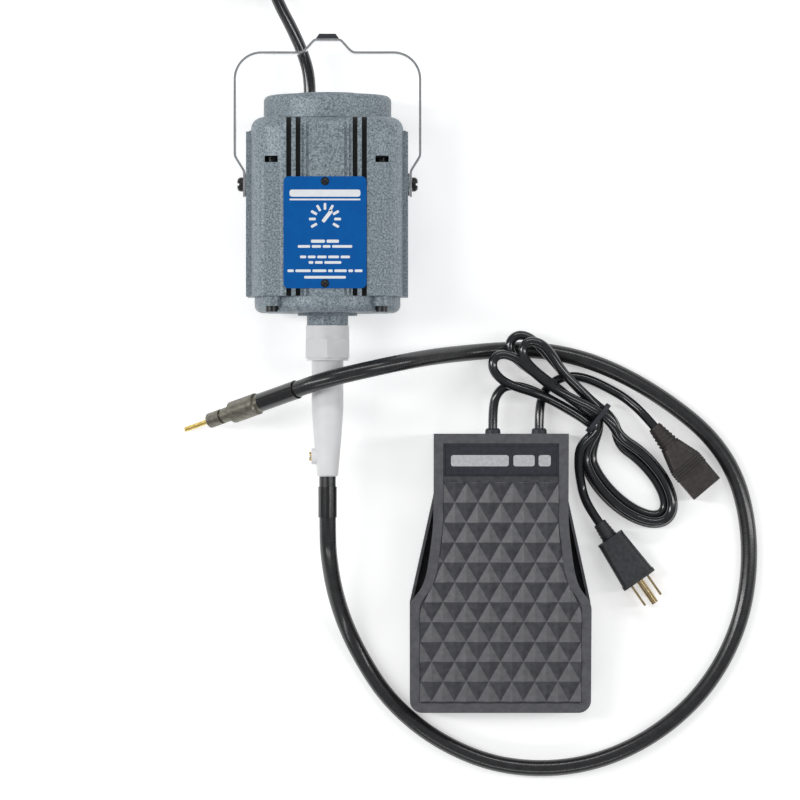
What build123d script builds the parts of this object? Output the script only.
"""Rotary tool with flex shaft: hang-up motor, flexible drive shaft and foot speed control, laid on a table."""
from build123d import *
import math
import os

os.makedirs("parts", exist_ok=True)

# ---------------------------------------------------------------- driving dimensions, mm
# Places: X to the right, Y towards the bail, Z up, the table at Z = 0.
MOTOR_X = -57.4            # motor axis
AXIS_Z = 48.0              # motor axis above the table
PIVOT_Y = 125.1            # bail pivot; the motor's own lengths are counted from it
PEDAL_X = 56.8             # centre plane of the foot control
HEEL_Y = -224.1            # heel edge of the foot control; its own lengths are counted from it

HOUSING_HALF = 49.8
HOUSING_TOP = 42.9
HOUSING_END = -74.1
BORE_R = 43.0
SPIGOT_R = 33.8
FIN_HALF = 53.0
COVER_R = 42.0
COVER_TOP = 58.2
BELL_R = 48.0
BELL_END = -84.6
NOSE_R = 13.6
NOSE_END = -92.7
BOLT_AT = 36.0
POCKET_LOW = 12.6          # bolt pockets in the corner blocks
POCKET_HIGH = 16.9
SCREW_AT = 25.5
BRUSH_Y = 29.0
PLATE_X = -58.4            # middle of the nameplate
PLATE_Y = -33.0
PLATE_SCREWS = (33.2, -33.2)
SHAFT_R = 4.0
BEARING_R = 11.0
BEARING_SPANS = [(44.2, 51.2), (-85.2, -78.2)]

EAR_X = 54.75              # middle of the bail strip's thickness
STRIP = 1.5
STRIP_WIDTH = 12.0

NUT_TOP = -92.9
NUT_END = -116.0
NUT_R = 14.3
SLEEVE_END = -192.2
SHEATH_R = 5.5
SHEATH_BORE_R = 2.8
CABLE_R = 2.3

TOE_L = 185.2              # treadle toe, from the heel edge
BASE_TOE_L = 184.6
BASE_HALF_TOE = 43.9
HALF_HEEL = 60.0
HEEL_R = 8.4
HALF_TOE = 44.4
PIN_L = 8.0
PIN_Z = 20.0
PIN_R = 2.5
HEEL_TOP_Z = 28.0
SLOPE = 9.3                # degrees, treadle top
PLATE = 4.5
TUB_Z = 3.0
FOOT_PLACES = [(-48, 14), (48, 14), (-36, 172), (36, 172)]
PLUNGER_L = 130.0
PLUNGER_DROP = 2.0         # plunger head below the treadle plate

MOTOR_CORD_R = 4.0
LEAD_R = 3.1

# Cord routes, mm: corner points of straight runs, which arcs round off.
SHEATH_ROUTE = [
    (-57.4, -67.1, 48.0), (-57.4, -103.0, 48.0), (-56.8, -120.0, 41.5), (-53.2, -143.5, 25.0),
    (-46.0, -167.0, 10.5), (-35.0, -189.5, 5.6), (-20.0, -213.0, 5.6), (1.0, -233.5, 5.6),
    (25.5, -249.0, 5.6), (53.0, -259.5, 5.6), (83.0, -263.0, 5.6), (113.0, -260.0, 5.6),
    (141.0, -250.5, 5.6), (167.0, -235.0, 5.6), (190.0, -214.0, 5.6), (207.5, -188.0, 5.6),
    (219.0, -158.5, 5.6), (223.5, -127.0, 5.6), (222.0, -96.0, 5.6), (214.0, -66.0, 5.6),
    (197.0, -40.5, 5.6), (171.5, -19.5, 5.6), (142.5, -1.5, 5.6), (114.0, 10.5, 5.6),
    (86.5, 16.2, 5.6), (62.2, 16.8, 5.6), (39.0, 15.0, 14.6), (11.2, 11.8, 40.6),
    (-17.9, 6.1, 66.6), (-58.8, -3.3, 69.5)]
HAND_PLAN = (-0.943, -0.333)     # heading of the hand end over the table
HAND_PITCH = 34.0                # degrees down
LEAN_IN = 26.0                   # last bend of the sheath, from the top of its hump
HAND_RUN = 27.6                  # from that bend to the end of the sheath
RING_LENGTH = 30.0

MOTOR_CORD_ROUTE = [
    (-69.4, 186.1, 34.0), (-69.4, 197.0, 34.0), (-74.0, 213.0, 30.5), (-81.0, 229.0, 25.0),
    (-90.0, 246.0, 17.5), (-96.0, 262.0, 9.5), (-95.0, 278.0, 5.0), (-87.0, 292.0, 4.4),
    (-77.4, 303.0, 4.4)]
COIL_CENTRE = (-118.0, 309.0)
COIL_IN_R = 30.2
COIL_OUT_R = 46.4
COIL_HEIGHT = 24.3
MOTOR_TAIL_ROUTE = [(-75.8, 309.0, 20.1), (-75.6, 320.5, 17.5), (-76.4, 332.0, 12.4), (-77.6, 343.5, 12.4)]

TIE_AT = (121.0, -28.0)
TIP_UPPER = (74.0, 20.0)
TIP_LOWER = (60.0, -7.0)
BUNDLE_R = 10.5
TIP_R = 7.5
LOBE_LOW = 13.6
LOBE_HIGH = 27.0
RING_CENTRE = (142.2, -68.9)
RING_LONG = 42.5
RING_SHORT = 23.4
RING_BAND = 13.0
RING_HEIGHT = 13.2

MAINS_LEAD_ROUTE = [(52.0, -35.6, 15.5), (52.0, -22.0, 15.5), (54.4, -12.8, 17.6), (58.6, -6.8, 19.8)]
MAINS_TAIL_ROUTE = [(112.6, -70.0, 3.6), (113.4, -80.0, 6.0), (116.8, -89.7, 9.5), (123.0, -98.6, 9.5)]
SOCKET_LEAD_ROUTE = [
    (83.0, -35.6, 8.3), (83.0, -22.6, 8.3), (86.0, -11.5, 5.0), (93.0, -4.0, 3.3), (103.0, -0.6, 3.3),
    (115.0, -2.2, 3.3), (128.5, -8.5, 3.3), (140.5, -15.4, 4.4), (151.5, -25.0, 9.6), (159.6, -34.6, 9.6)]


# ---------------------------------------------------------------- helpers
def save(node, *solids):
    """Write one named piece, or one named group of identical pieces."""
    shape = solids[0] if len(solids) == 1 else Compound(children=list(solids))
    export_step(shape, f"parts/{node}.step")


def rod_y(radius, start, end, x=0.0, z=0.0):
    """Round bar along the motor axis; start and end count from the bail pivot."""
    middle = PIVOT_Y + (start + end) / 2
    return Pos(MOTOR_X + x, middle, AXIS_Z + z) * Rot(X=90) * Cylinder(radius, abs(end - start))


def tube_y(outer, inner, start, end):
    return rod_y(outer, start, end) - rod_y(inner, start - 1, end + 1)


def rod_x(radius, start, end, y, z=0.0):
    """Round bar across the motor; start and end count from its axis."""
    middle = MOTOR_X + (start + end) / 2
    return Pos(middle, PIVOT_Y + y, AXIS_Z + z) * Rot(Y=90) * Cylinder(radius, abs(end - start))


def block(x0, x1, y0, y1, z0, z1):
    """Box in motor lengths: x and z from the axis, y from the bail pivot."""
    size = (abs(x1 - x0), abs(y1 - y0), abs(z1 - z0))
    centre = (MOTOR_X + (x0 + x1) / 2, PIVOT_Y + (y0 + y1) / 2, AXIS_Z + (z0 + z1) / 2)
    return Pos(*centre) * Box(*size)


def motor_prism(section, start, end):
    """Extrude a section, drawn in x and z from the motor axis, from one length to a lower one."""
    return Pos(MOTOR_X, PIVOT_Y + start, AXIS_Z) * Rot(X=90) * extrude(section, start - end)


def arc_radii(route):
    """Radius of the arc at each inner point: 0.45 of the shorter run over the tangent of half the turn."""
    radii = []
    for before, here, after in zip(route, route[1:], route[2:]):
        first = Vector(*here) - Vector(*before)
        second = Vector(*after) - Vector(*here)
        half_turn = math.radians(first.get_angle(second)) / 2
        radii.append(0.45 * min(first.length, second.length) / math.tan(half_turn))
    return radii


def path_of(route):
    return FilletPolyline(*route, radius=arc_radii(route))


def swept(route, radius):
    path = path_of(route)
    start = Plane(origin=path @ 0, z_dir=path % 0)
    return sweep(start * Circle(radius), path)


def report_route(name, route, radius, solid):
    """Print the arc radii, and the volume against section times length."""
    length = path_of(route).length
    share = solid.volume / (math.pi * radius ** 2 * length)
    print(name, "length", round(length, 1), "volume share", round(share, 4))
    print("   arc radii", [round(value) for value in arc_radii(route)])


def heading_of(route):
    """Direction of a route's last run."""
    return (Vector(*route[-1]) - Vector(*route[-2])).normalized()


def along(origin, direction):
    """Plane at a point, its normal along a direction, its x level with the table."""
    level = Vector(0, 0, 1).cross(direction)
    return Plane(origin=origin, x_dir=level, z_dir=direction)


def spun(plane, profile):
    """Solid of revolution from (radius, distance) points, about the plane's normal."""
    face = make_face(Polyline(*[(r, 0, d) for r, d in profile], close=True))
    return plane * revolve(face, Axis.Z)


# ---------------------------------------------------------------- motor housing and covers
def motor_housing():
    section = RectangleRounded(2 * HOUSING_HALF, 2 * AXIS_Z, 25)
    body = motor_prism(section, HOUSING_TOP, HOUSING_END)
    shoulder = body.faces().sort_by(Axis.Y)[-1].edges()
    body = fillet(shoulder, 8)
    for side in (-1, 1):
        for z0, z1 in ((-25, -17), (17, 25), (-10, 10)):
            body += block(side * 45, side * FIN_HALF, 33.6, HOUSING_END, z0, z1)
        body += rod_x(7.5, side * 45, side * 53.9, 0)
        for level in (-1, 1):
            body += block(side * 26.6, side * 40.6, POCKET_LOW, HOUSING_END, level * 34, level * 47.4)
            body += rod_y(5.5, POCKET_LOW, HOUSING_END, side * 39.5, level * 38)
    # fluted front between the centre panel and the corner blocks, and the same on the back
    for side in (-1, 1):
        for level in (-1, 1):
            for inner, outer, depth in ((11.6, 13.2, 1.2), (14.6, 16.2, 1.2), (16.9, 20.1, 6), (22.9, 26.2, 7)):
                body -= block(side * inner, side * outer, 60, HOUSING_END - 5, level * (AXIS_Z - depth), level * 60)
    body -= rod_y(BORE_R, 36.5, HOUSING_END - 5)
    body -= rod_y(34, 34, HOUSING_TOP + 5)
    for side in (-1, 1):
        body -= rod_x(6.6, side * 35, side * 60, BRUSH_Y)
        body -= rod_x(2.5, side * 40, side * 60, 0)
        for level in (-1, 1):
            x, z = side * BOLT_AT, level * (BOLT_AT - 1)
            body -= rod_y(2.2, POCKET_HIGH, HOUSING_END - 5, x, z)
            body -= rod_y(4.3, POCKET_LOW, POCKET_HIGH, x, z)
            body -= block(x - 4.3, x + 4.3, POCKET_LOW, POCKET_HIGH, z, level * 60)
            body -= rod_y(1.7, 30, 60, side * SCREW_AT, level * SCREW_AT)
    body -= plate_screw_holes()
    return body


def plate_screw_holes():
    holes = Part()
    for y in PLATE_SCREWS:
        holes += Pos(PLATE_X, PIVOT_Y + PLATE_Y + y, AXIS_Z + 46) * Cylinder(1.4, 6)
    return holes


def top_cover():
    cap = rod_y(COVER_R, HOUSING_TOP, COVER_TOP)
    cap = fillet(cap.faces().sort_by(Axis.Y)[-1].edges(), 4)
    cap += rod_y(20, COVER_TOP, COVER_TOP + 1.6)
    cap -= rod_y(38.5, HOUSING_TOP - 1, 54.6)
    cap += tube_y(41.0, 31.5, HOUSING_TOP, HOUSING_TOP + 2)
    cap += tube_y(SPIGOT_R, 31.5, 37.0, HOUSING_TOP)
    cap += rod_y(13.5, 44.2, 56)
    cap -= rod_y(BEARING_R, 43, 51.2)
    cap -= rod_y(SHAFT_R + 0.6, 43, 53.5)
    cap -= rod_y(6.2, 50, 62, -12, -14)
    for side in (-1, 1):
        for level in (-1, 1):
            cap -= rod_y(1.8, 40, 50, side * SCREW_AT, level * SCREW_AT)
    return cap


def cover_screws():
    screws = []
    for side in (-1, 1):
        for level in (-1, 1):
            x, z = side * SCREW_AT, level * SCREW_AT
            screws.append(rod_y(1.7, 36.6, HOUSING_TOP + 2, x, z) + rod_y(2.4, HOUSING_TOP + 2, 47.4, x, z))
    return screws


def lower_end_bell():
    bell = rod_y(BELL_R, BELL_END, HOUSING_END)
    bell = fillet(bell.faces().sort_by(Axis.Y)[0].edges(), 5)
    bell += rod_y(NOSE_R + 6, -86.4, BELL_END)
    bell += rod_y(NOSE_R, NOSE_END, BELL_END)
    bell -= rod_y(39, -78.0, HOUSING_END + 1)
    bell -= rod_y(BEARING_R, -85.2, HOUSING_END + 1)
    bell -= rod_y(9.4, NOSE_END - 1, -80)
    for side in (-1, 1):
        for level in (-1, 1):
            x, z = side * BOLT_AT, level * (BOLT_AT - 1)
            bell += rod_y(6.5, -80.6, HOUSING_END, x, z)
            bell -= rod_y(2.2, BELL_END - 2, HOUSING_END + 1, x, z)
            bell -= rod_y(4.4, BELL_END - 2, -80.6, x, z)
    for turn in range(8):
        angle = math.radians(22.5 + 45 * turn)
        bell -= rod_y(3.4, BELL_END - 2, HOUSING_END, 27 * math.cos(angle), 27 * math.sin(angle))
    return bell


def through_bolts():
    bolts = []
    for side in (-1, 1):
        for level in (-1, 1):
            x, z = side * BOLT_AT, level * (BOLT_AT - 1)
            head = rod_y(4.0, POCKET_LOW, POCKET_HIGH - 0.8, x, z)
            head -= block(x - 0.6, x + 0.6, POCKET_LOW + 2.2, POCKET_HIGH, z - 6, z + 6)
            bolts.append(head + rod_y(2.2, -83.5, POCKET_LOW, x, z) + rod_y(3.8, -84.4, -80.6, x, z))
    return bolts


def nameplate():
    plate = extrude(RectangleRounded(53.9, 72.7, 3.3), 0.8)
    for y in PLATE_SCREWS:
        plate -= Pos(0, y, 0) * Cylinder(1.45, 4)
    return Pos(PLATE_X, PIVOT_Y + PLATE_Y, 2 * AXIS_Z) * plate


def nameplate_screws():
    screws = []
    for y in PLATE_SCREWS:
        head = Sphere(3.4) & Pos(0, 0, 4) * Box(8, 8, 4)
        screw = Pos(0, 0, -2) * head - Pos(0, 0, 1.5) * Box(9, 0.8, 1.0) + Pos(0, 0, -2.4) * Cylinder(1.4, 4.9)
        screws.append(Pos(PLATE_X, PIVOT_Y + PLATE_Y + y, 2 * AXIS_Z + 0.8) * screw)
    return screws


# ---------------------------------------------------------------- bail
def bail_hanger():
    half = [(EAR_X, -8.3), (EAR_X, 8.6), (60.95, 18.6), (60.95, 86.55), (16.3, 86.55), (8.6, 95.0)]
    radii = [6, 6, 17.5, 6, 3]
    line = FilletPolyline(*half, *[(-x, y) for x, y in reversed(half)], radius=radii + radii[::-1])
    strip = extrude(trace(line, STRIP), STRIP_WIDTH)
    for side in (-1, 1):
        strip -= Pos(side * EAR_X, 0, STRIP_WIDTH / 2) * Rot(Y=90) * Cylinder(2.58, 6)
    return Pos(MOTOR_X, PIVOT_Y, AXIS_Z - STRIP_WIDTH / 2) * strip


def hanger_pad():
    outline = make_face(Polyline((-7.6, 95.75), (7.6, 95.75), (5.4, 98.9), (-5.4, 98.9), close=True))
    pad = extrude(outline, STRIP_WIDTH)
    return Pos(MOTOR_X, PIVOT_Y, AXIS_Z - STRIP_WIDTH / 2) * pad


def bail_screws():
    screws = []
    for side in (-1, 1):
        head = rod_x(4.7, side * 55.6, side * 59.4, 0)
        head = fillet(head.faces().sort_by(Axis.X)[-1 if side > 0 else 0].edges(), 2.4)
        head -= block(side * 58.2, side * 60, -0.8, 0.8, -6, 6)
        screws.append(head + rod_x(2.5, side * 43.5, side * 55.6, 0))
    return screws


# ---------------------------------------------------------------- electric motor
def stator_core():
    core = tube_y(42.8, 37.0, -45, 5)
    core += tube_y(28.0, 24.0, -45, 5) - block(-50, 50, 10, -50, -12, 12)
    for level in (-1, 1):
        core += block(-10, 10, 5, -45, level * 27, level * 39)
    return core


def field_coils():
    coils = []
    for level in (-1, 1):
        frame = block(-20, 20, 12, -52, level * 28.3, level * 30.2)
        coils.append(frame - block(-10.3, 10.3, 5.3, -45.3, level * 20, level * 40))
    return coils


def armature_shaft():
    return rod_y(SHAFT_R, -88, 52)


def armature_core():
    core = tube_y(23.4, SHAFT_R, -45, 5)
    for turn in range(12):
        angle = math.radians(30 * turn)
        core -= rod_y(2.0, -46, 6, 21.8 * math.cos(angle), 21.8 * math.sin(angle))
    return core


def armature_windings():
    windings = tube_y(22.8, 7, 5, 18) + tube_y(22.8, 7, -58, -45)
    for turn in range(12):
        angle = math.radians(30 * turn)
        windings += rod_y(1.75, -46, 6, 21.6 * math.cos(angle), 21.6 * math.sin(angle))
    return windings


def commutator():
    drum = tube_y(12, SHAFT_R, 22, 36) + tube_y(14, SHAFT_R, 20, 22)
    for turn in range(12):
        cut = Pos(0, 0, 12) * Box(0.7, 15, 1.6)
        drum -= Pos(MOTOR_X, PIVOT_Y + 29.6, AXIS_Z) * Rot(Y=30 * turn) * cut
    return drum


def cooling_fan():
    fan = tube_y(9, SHAFT_R, -73, -61) + tube_y(36, SHAFT_R, -73, -71.5)
    for turn in range(9):
        blade = Pos(22, 0, 0) * Box(28, 9, 1.4)
        fan += Pos(MOTOR_X, PIVOT_Y - 67, AXIS_Z) * Rot(Y=40 * turn) * blade
    return fan


def bearing_parts():
    inner, outer, balls = [], [], []
    for low, high in BEARING_SPANS:
        inner.append(tube_y(6.2, SHAFT_R, low, high))
        outer.append(tube_y(BEARING_R, 9.2, low, high))
        for turn in range(8):
            angle = math.radians(45 * turn)
            place = (MOTOR_X + 7.7 * math.cos(angle), PIVOT_Y + (low + high) / 2, AXIS_Z + 7.7 * math.sin(angle))
            balls.append(Pos(*place) * Sphere(1.44))
    return inner, outer, balls


def brush_gear():
    holders, brushes, springs, caps = [], [], [], []
    for side in (-1, 1):
        holder = rod_x(6.5, side * 14.5, side * 46, BRUSH_Y)
        holders.append(holder - block(side * 10, side * 50, BRUSH_Y - 3.6, BRUSH_Y + 3.6, -2.6, 2.6))
        brush = block(side * 11, side * 27, BRUSH_Y - 3.5, BRUSH_Y + 3.5, -2.5, 2.5)
        brushes.append(brush - rod_y(12.3, BRUSH_Y - 5, BRUSH_Y + 5))
        wire = sweep(Plane.XZ * Pos(2.0, 0) * Circle(0.35), Helix(3.0, 18.4, 2.0))
        start = MOTOR_X + side * 27.4
        springs.append(Pos(start, PIVOT_Y + BRUSH_Y, AXIS_Z) * Rot(Y=90 * side) * wire)
        cap = rod_x(6.5, side * 46.2, side * 51.5, BRUSH_Y)
        caps.append(cap - block(side * 50.3, side * 52, BRUSH_Y - 0.8, BRUSH_Y + 0.8, -7, 7))
    return holders, brushes, springs, caps


def drive_coupling():
    return tube_y(8.2, SHAFT_R, -92, -87.4) + (rod_y(8.2, -98, -92) - rod_y(CABLE_R + 0.1, -99, -95))


# ---------------------------------------------------------------- flex shaft
def connector_nut():
    hexagon = RegularPolygon(NUT_R, 6, major_radius=False, rotation=30)
    nut = rod_y(NUT_R, NUT_TOP, -102) + motor_prism(hexagon, -102, -114.2) + rod_y(NUT_R - 0.6, -114.2, NUT_END)
    return nut - rod_y(10.9, NUT_TOP + 1, -112.4) - rod_y(6.0, -109, NUT_END - 1)


def sleeve_plane():
    return Plane(origin=(MOTOR_X, PIVOT_Y, AXIS_Z), x_dir=(1, 0, 0), z_dir=(0, -1, 0))


def connector_sleeve():
    profile = [(2.7, 109.8), (10.7, 109.8), (10.7, 112.2), (5.9, 112.2), (5.9, 116.1), (10.45, 116.1), (10.45, 147),
               (9.2, 166), (6.95, 191.3), (6.1, 192.2), (2.7, 192.2)]
    sleeve = spun(sleeve_plane(), profile)
    boss = rod_x(5.3, -4, -10.6, -179)
    return sleeve + (boss - rod_x(1.4, -3.5, -12, -179)) - rod_y(2.7, -170, -190) - rod_x(1.4, -3.5, -12, -179)


def sleeve_screw():
    head = rod_x(3.0, -10.6, -12.0, -179) - block(-11.4, -13, -179.5, -178.5, -4, 4)
    return head + rod_x(1.4, -3.6, -10.6, -179)


def hand_bends():
    """Last bend of the sheath, its end, and the heading of the hand connector."""
    top = Vector(*SHEATH_ROUTE[-1])
    plan = Vector(*HAND_PLAN, 0).normalized()
    lean = plan * math.cos(math.radians(HAND_PITCH - 1.5)) - Vector(0, 0, math.sin(math.radians(HAND_PITCH - 1.5)))
    axis = plan * math.cos(math.radians(HAND_PITCH)) - Vector(0, 0, math.sin(math.radians(HAND_PITCH)))
    bend = top + lean * LEAN_IN
    return bend, bend + axis * HAND_RUN, axis


def hand_connector(plane):
    profile = [(1.8, 0), (5.75, 0), (5.75, 3.1), (7.25, 3.9), (7.25, 24.3), (6.6, 24.9), (4.9, 24.9), (4.9, 32.5),
               (4.0, 32.5), (4.0, 34.2), (5.0, 34.2), (5.0, 44.4), (4.3, 45.1), (1.8, 45.1)]
    return spun(plane, profile)


def key_tip(plane):
    """Drive key: a round shank outside the connector, with a cross slot in its tapered end."""
    tip = spun(plane, [(0, 30), (1.4, 30), (1.4, 45.6), (1.7, 45.6), (1.7, 65.6), (1.1, 66.9), (0, 66.9)])
    return tip - plane * Pos(0, 0, 66.5) * Box(0.8, 4, 1.8)


# ---------------------------------------------------------------- motor cord
def cord_grommet():
    return rod_y(6.2, 54.7, 59.9, -12, -14) + rod_y(6.6, 59.9, 61.0, -12, -14)


def motor_cord_coil():
    ring = extrude(Circle(COIL_OUT_R) - Circle(COIL_IN_R), COIL_HEIGHT)
    return Pos(*COIL_CENTRE, 0.1) * fillet(ring.edges(), 3)


def coil_tie():
    """Flat band around the coil's section, where the turns run along X."""
    middle = (COIL_IN_R + COIL_OUT_R) / 2
    band = extrude(RectangleRounded(18.6, 26.8, 3.4) - RectangleRounded(16.5, 24.7, 3.0), 5)
    return Pos(COIL_CENTRE[0] - 2.5, COIL_CENTRE[1] + middle, 13.4) * Rot(Y=90) * Rot(Z=90) * band


def motor_plug():
    plane = along(MOTOR_TAIL_ROUTE[-1], heading_of(MOTOR_TAIL_ROUTE))
    body = spun(plane, [(0, 0), (5.0, 0), (6.2, 14), (8.4, 18), (0, 18)])
    grip = plane * Pos(0, 0, 31) * Box(24.4, 19.6, 26)
    grip = fillet(grip.edges().filter_by(Axis(plane.origin, plane.z_dir)), 5)
    return body + grip - plane * Pos(0, 0, 39) * Box(20.5, 14.2, 12)


def motor_plug_pins():
    plane = along(MOTOR_TAIL_ROUTE[-1], heading_of(MOTOR_TAIL_ROUTE))
    return [plane * Pos(x, y, 37.5) * Box(1.9, 4.0, 9) for x, y in ((-6.5, -1.5), (0, 2.2), (6.5, -1.5))]


# ---------------------------------------------------------------- foot control
def pedal_place(length, x=0.0, z=0.0):
    return Pos(PEDAL_X + x, HEEL_Y + length, z)


def base_outline(inset=0.0):
    half = [(HALF_HEEL, HEEL_R), (HALF_HEEL, 73), (BASE_HALF_TOE, 146), (BASE_HALF_TOE, BASE_TOE_L)]
    right = [(x - inset, min(max(y, inset), BASE_TOE_L - inset)) for x, y in half]
    heel = [(HALF_HEEL - HEEL_R, inset)]
    points = heel + [(HALF_HEEL - inset, HEEL_R)] + right[1:]
    outline = points + [(-x, y) for x, y in reversed(points)]
    return make_face(Polyline(*outline, close=True))


def base_height(high):
    """Side profile of the base, its rim rising towards the toe but staying under the pressed treadle."""
    profile = Polyline((-2, 0), (-2, 18), (73, 18), (84, 24), (BASE_TOE_L + 2, high), (BASE_TOE_L + 2, 0), close=True)
    side = extrude(make_face(profile), 65, both=True)
    return Rot(Z=90) * Rot(X=90) * side


def pedal_base():
    outer = extrude(base_outline(), 45)
    shell = Pos(0, 0, TUB_Z) * outer & base_height(31)
    shell -= Pos(0, 0, TUB_Z + 2.5) * extrude(base_outline(1.8), 60)
    for side in (-1, 1):
        lug = Pos(side * 46, PIN_L, 0) * Box(4, 9, 18, align=(Align.CENTER, Align.CENTER, Align.MIN))
        shell += Pos(0, 0, TUB_Z + 2) * lug
        shell += Pos(side * 53, 20, TUB_Z + 2) * Cylinder(4, 8, align=(Align.CENTER, Align.CENTER, Align.MIN))
    shell -= Pos(0, PIN_L, PIN_Z) * Rot(Y=90) * Cylinder(PIN_R, 104)
    guide = Pos(0, PLUNGER_L, TUB_Z + 2) * Cylinder(6.5, 21, align=(Align.CENTER, Align.CENTER, Align.MIN))
    shell += guide
    shell -= Pos(0, PLUNGER_L, TUB_Z + 2.5) * Cylinder(4.06, 60, align=(Align.CENTER, Align.CENTER, Align.MIN))
    for x, z in ((MAINS_LEAD_ROUTE[0][0], MAINS_LEAD_ROUTE[0][2]), (SOCKET_LEAD_ROUTE[0][0], SOCKET_LEAD_ROUTE[0][2])):
        shell -= Pos(x - PEDAL_X, BASE_TOE_L - 2, z) * Rot(X=90) * Cylinder(4.6, 12)
    for x, y in FOOT_PLACES:
        shell -= Pos(x, y, 0) * Cylinder(1.5, 12)
    return pedal_place(0) * shell


def rubber_feet():
    feet = []
    for x, y in FOOT_PLACES:
        foot = Cylinder(7, TUB_Z, align=(Align.CENTER, Align.CENTER, Align.MIN))
        foot -= Cylinder(2.9, 3.8) + Cylinder(1.55, 9)
        feet.append(pedal_place(y, x) * foot)
    return feet


def base_screws():
    screws = []
    for x, y in FOOT_PLACES:
        shank = Pos(0, 0, 4.4) * Cylinder(1.5, 5.4)
        head = Pos(0, 0, 1.4) * Cylinder(2.8, 0.8)
        screws.append(pedal_place(y, x) * (shank + head))
    return screws


def treadle_outline(inset=0.0):
    """Wide heel and narrow toe, joined by a long sweep on each side."""
    wide = HALF_HEEL - inset
    narrow = HALF_TOE - inset
    turn = HEEL_R - inset
    toe = TOE_L - inset
    pieces = [Line((-(wide - turn), inset), (wide - turn, inset)), Line((narrow, toe), (-narrow, toe))]
    for side in (-1, 1):
        pieces.append(CenterArc((side * (wide - turn), HEEL_R), turn, 270, 90 * side))
        pieces.append(Line((side * wide, HEEL_R), (side * wide, 68)))
        sweep_points = [(side * wide, 68), (side * (53.8 - inset), 81), (side * (47.0 - inset), 105),
                        (side * narrow, 135)]
        pieces.append(Spline(*sweep_points, tangents=((0, 1), (0, 1))))
        pieces.append(Line((side * narrow, 135), (side * narrow, toe)))
    return make_face([edge for piece in pieces for edge in piece.edges()])


def treadle_level(low, high):
    """Slab between two heights measured square to the treadle top."""
    slab = Pos(0, 100, (low + high) / 2) * Box(140, 260, high - low)
    return Pos(0, 0, HEEL_TOP_Z) * Rot(X=SLOPE) * slab


def treadle():
    plan = extrude(treadle_outline(), 90)
    plate = plan & treadle_level(-PLATE, 0)
    inner = extrude(treadle_outline(3.0), 90)
    hollow = extrude(treadle_outline(5.2), 90)
    skirt = (inner - hollow) & treadle_level(-11, -PLATE) & Pos(0, 94, 40) * Box(140, 152, 100)
    body = plate + skirt
    body -= extrude(treadle_outline(6.4), 90) & treadle_level(-1.7, 5)
    for side in (-1, 1):
        lug = Pos(side * 40, PIN_L, PIN_Z) * Box(4, 9, 16)
        body += lug & (Pos(0, 0, HEEL_TOP_Z) * Rot(X=SLOPE) * Pos(0, 0, -30 - PLATE + 1) * Box(140, 260, 60))
    return pedal_place(0) * (body - Pos(0, PIN_L, PIN_Z) * Rot(Y=90) * Cylinder(PIN_R + 0.06, 90))


def tread_pad():
    pad = extrude(treadle_outline(6.6), 90) & treadle_level(-1.7, 1.0)
    return pedal_place(0) * pad


def hinge_pin():
    return pedal_place(PIN_L, 0, PIN_Z) * Rot(Y=90) * Cylinder(PIN_R, 100)


def plunger_top():
    return HEEL_TOP_Z + math.tan(math.radians(SLOPE)) * PLUNGER_L - PLATE / math.cos(math.radians(SLOPE))


def plunger():
    """Rod with a head that the treadle pushes down, and a tab that moves the potentiometer."""
    top = plunger_top() - PLUNGER_DROP
    rod = pedal_place(PLUNGER_L, 0, (20 + top - 3) / 2) * Cylinder(4, top - 3 - 20)
    head = pedal_place(PLUNGER_L, 0, top - 1.5) * Cylinder(10.5, 3)
    tab = pedal_place(PLUNGER_L, 14, top - 1.5) * Box(14, 4, 3)
    return rod + head + tab


def return_spring():
    low = TUB_Z + 2.6
    high = plunger_top() - PLUNGER_DROP - 3.1
    wire_r = 0.55
    helix = Helix((high - low - 2 * wire_r) / 7, high - low - 2 * wire_r, 8.2)
    wire = sweep(Plane.XZ * Pos(8.2, 0) * Circle(wire_r), helix)
    return pedal_place(PLUNGER_L, 0, low + wire_r) * wire


def circuit_board():
    board = Box(36, 46, 1.6)
    for x in (-15, 15):
        for y in (-20, 20):
            board += Pos(x, y, -1.9) * Cylinder(2, 2.4)
    board += Pos(-6, -8, 4.3) * Box(12, 16, 7)
    board += Pos(8, 8, 3.3) * Cylinder(5, 5)
    return pedal_place(82, 10, 9) * board


def slide_potentiometer():
    body = Box(7, 14, 23)
    body -= Pos(-3, 0, 1) * Box(3, 3, 17)
    return pedal_place(PLUNGER_L, 24.8, TUB_Z + 2.6 + 11.5) * body


def cord_glands():
    glands = []
    for route in (MAINS_LEAD_ROUTE, SOCKET_LEAD_ROUTE):
        x, y, z = route[0]
        wall = HEEL_Y + BASE_TOE_L
        plane = Plane(origin=(x, wall - 1.8, z), x_dir=(1, 0, 0), z_dir=(0, 1, 0))
        glands.append(spun(plane, [(0, 0), (4.6, 0), (4.6, 1.8), (5.2, 1.8), (5.0, 4.6), (4.2, y - wall + 1.8),
                                   (0, y - wall + 1.8)]))
    return glands


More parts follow.
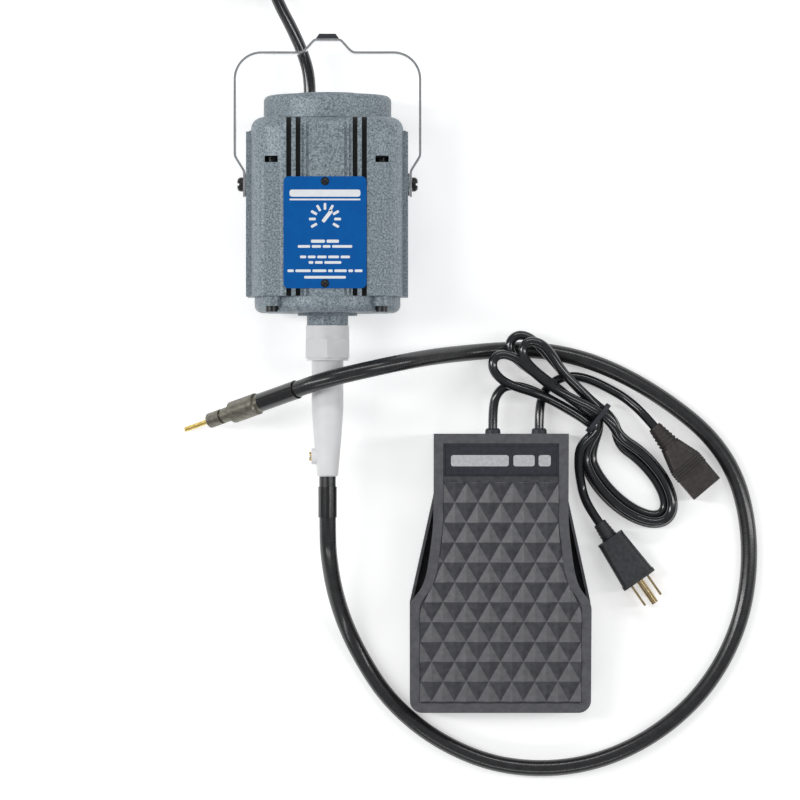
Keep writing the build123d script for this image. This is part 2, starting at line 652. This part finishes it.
# ---------------------------------------------------------------- mains cord and socket lead
def mains_hank():
    """Sloping fan of loops above the sheath, and a loose ring of loops on the table."""
    fan = make_hull([CenterArc(TIE_AT, BUNDLE_R, 0, 360), CenterArc(TIP_UPPER, TIP_R, 0, 360),
                     CenterArc(TIP_LOWER, TIP_R, 0, 360)])
    profile = Polyline((-14, 0.2), (6, 0.2), (30, LOBE_LOW), (90, LOBE_LOW), (90, LOBE_HIGH), (36, LOBE_HIGH),
                       (8, 18.8), (-14, 18.8), close=True)
    side = extrude(make_face(profile), 60, both=True)
    heading = math.degrees(math.atan2(TIP_UPPER[1] - TIE_AT[1] - 13, TIP_UPPER[0] - TIE_AT[0] - 7))
    wedge = Pos(*TIE_AT, 0) * Rot(Z=heading) * Rot(X=90) * side
    lobe = extrude(fan, 40) & wedge
    ring = Ellipse(RING_LONG, RING_SHORT) - Ellipse(RING_LONG - RING_BAND, RING_SHORT - RING_BAND)
    ring = Pos(*RING_CENTRE, 0.2) * Rot(Z=-45) * extrude(ring, RING_HEIGHT)
    return lobe + ring


def hank_tie():
    band = extrude(RectangleRounded(23.2, 21.0, 4.2) - RectangleRounded(21.4, 19.2, 3.6), 3)
    return Pos(TIE_AT[0], TIE_AT[1], 10.6) * Rot(Z=-38) * Rot(Y=90) * Rot(Z=90) * band


def mains_plug():
    plane = along(MAINS_TAIL_ROUTE[-1], heading_of(MAINS_TAIL_ROUTE))
    relief = spun(plane, [(0, 0), (4.2, 0), (5.2, 12.5), (0, 12.5)])
    back = plane * Pos(0, 0, 12.5) * RectangleRounded(18.7, 15.0, 4)
    front = plane * Pos(0, 0, 46.5) * RectangleRounded(24.0, 18.6, 4)
    return relief + loft([back, front])


def mains_plug_blades():
    plane = along(MAINS_TAIL_ROUTE[-1], heading_of(MAINS_TAIL_ROUTE))
    blades = [plane * Pos(x, -2, 54.6) * Box(1.5, 6.3, 16) for x in (-6.35, 6.35)]
    pin = plane * Pos(0, 5.4, 55.6) * Cylinder(2.4, 18)
    return blades + [pin]


def socket_connector():
    plane = along(SOCKET_LEAD_ROUTE[-1], heading_of(SOCKET_LEAD_ROUTE))
    relief = spun(plane, [(0, 0), (4.4, 0), (6.6, 19), (0, 19)])
    grip_back = plane * Pos(0, 0, 17) * RectangleRounded(14.5, 13.4, 4)
    grip_front = plane * Pos(0, 0, 31) * RectangleRounded(22.6, 18.4, 4)
    front = plane * Pos(0, 0, 42.5) * Box(22.4, 17.6, 23)
    face = relief + loft([grip_back, grip_front]) + front
    for x, y in ((-6.8, 2), (0, -2.5), (6.8, 2)):
        face -= plane * Pos(x, y, 49) * Box(2.6, 5.4, 14)
    return face


def socket_contacts():
    plane = along(SOCKET_LEAD_ROUTE[-1], heading_of(SOCKET_LEAD_ROUTE))
    return [plane * Pos(x, y, 44.4) * Box(2.4, 5.0, 4.4) for x, y in ((-6.8, 2), (0, -2.5), (6.8, 2))]


# ---------------------------------------------------------------- write every node
save("motor_housing", motor_housing())
save("top_cover", top_cover())
save("lower_end_bell", lower_end_bell())
save("through_bolts", *through_bolts())
save("cover_screws", *cover_screws())
save("nameplate", nameplate())
save("nameplate_screws", *nameplate_screws())
save("bail_hanger", bail_hanger())
save("hanger_pad", hanger_pad())
save("bail_screws", *bail_screws())
save("stator_core", stator_core())
save("field_coils", *field_coils())
save("armature_shaft", armature_shaft())
save("armature_core", armature_core())
save("armature_windings", armature_windings())
save("commutator", commutator())
save("cooling_fan", cooling_fan())
inner_rings, outer_rings, bearing_balls = bearing_parts()
save("bearing_inner_rings", *inner_rings)
save("bearing_outer_rings", *outer_rings)
save("bearing_balls", *bearing_balls)
holders, brushes, springs, caps = brush_gear()
save("brush_holders", *holders)
save("carbon_brushes", *brushes)
save("brush_springs", *springs)
save("brush_caps", *caps)
save("drive_coupling", drive_coupling())
save("connector_nut", connector_nut())
save("connector_sleeve", connector_sleeve())
save("sleeve_screw", sleeve_screw())

last_bend, sheath_end, hand_axis = hand_bends()
hand_plane = along(sheath_end, hand_axis)
flex_route = SHEATH_ROUTE + [tuple(last_bend), tuple(sheath_end)]
sheath_solid = swept(flex_route, SHEATH_R)
report_route("sheath", flex_route, SHEATH_R, sheath_solid)
save("sheath", sheath_solid - swept(flex_route, SHEATH_BORE_R))
cable = swept(flex_route, CABLE_R)
report_route("drive cable", flex_route, CABLE_R, cable)
save("drive_cable", cable + rod_y(CABLE_R, -95.2, SLEEVE_END))
save("sheath_ring_motor", tube_y(6.2, SHEATH_R + 0.05, -219.2, -198.9))
save("sheath_ring_hand", hand_plane * Pos(0, 0, -RING_LENGTH / 2) * (Cylinder(6.3, RING_LENGTH) - Cylinder(5.8, 60)))
save("hand_connector", hand_connector(hand_plane))
save("key_tip", key_tip(hand_plane))

save("cord_grommet", cord_grommet())
motor_cord = swept(MOTOR_CORD_ROUTE, MOTOR_CORD_R)
report_route("motor cord", MOTOR_CORD_ROUTE, MOTOR_CORD_R, motor_cord)
save("motor_cord_coil", motor_cord_coil())
save("coil_tie", coil_tie())
motor_tail = swept(MOTOR_TAIL_ROUTE, MOTOR_CORD_R)
report_route("motor cord tail", MOTOR_TAIL_ROUTE, MOTOR_CORD_R, motor_tail)
save("motor_cord", motor_cord, motor_tail)
save("motor_plug", motor_plug())
save("motor_plug_pins", *motor_plug_pins())

save("pedal_base", pedal_base())
save("rubber_feet", *rubber_feet())
save("base_screws", *base_screws())
save("treadle", treadle())
save("tread_pad", tread_pad())
save("hinge_pin", hinge_pin())
save("plunger", plunger())
save("return_spring", return_spring())
save("circuit_board", circuit_board())
save("slide_potentiometer", slide_potentiometer())
save("cord_glands", *cord_glands())

mains_lead = swept(MAINS_LEAD_ROUTE, LEAD_R)
report_route("mains lead", MAINS_LEAD_ROUTE, LEAD_R, mains_lead)
save("mains_hank", mains_hank())
save("hank_tie", hank_tie())
mains_tail = swept(MAINS_TAIL_ROUTE, LEAD_R)
report_route("mains tail", MAINS_TAIL_ROUTE, LEAD_R, mains_tail)
save("mains_cord", mains_lead, mains_tail)
save("mains_plug", mains_plug())
save("mains_plug_blades", *mains_plug_blades())
socket_lead = swept(SOCKET_LEAD_ROUTE, LEAD_R)
report_route("socket lead", SOCKET_LEAD_ROUTE, LEAD_R, socket_lead)
save("socket_lead", socket_lead)
save("socket_connector", socket_connector())
save("socket_contacts", *socket_contacts())
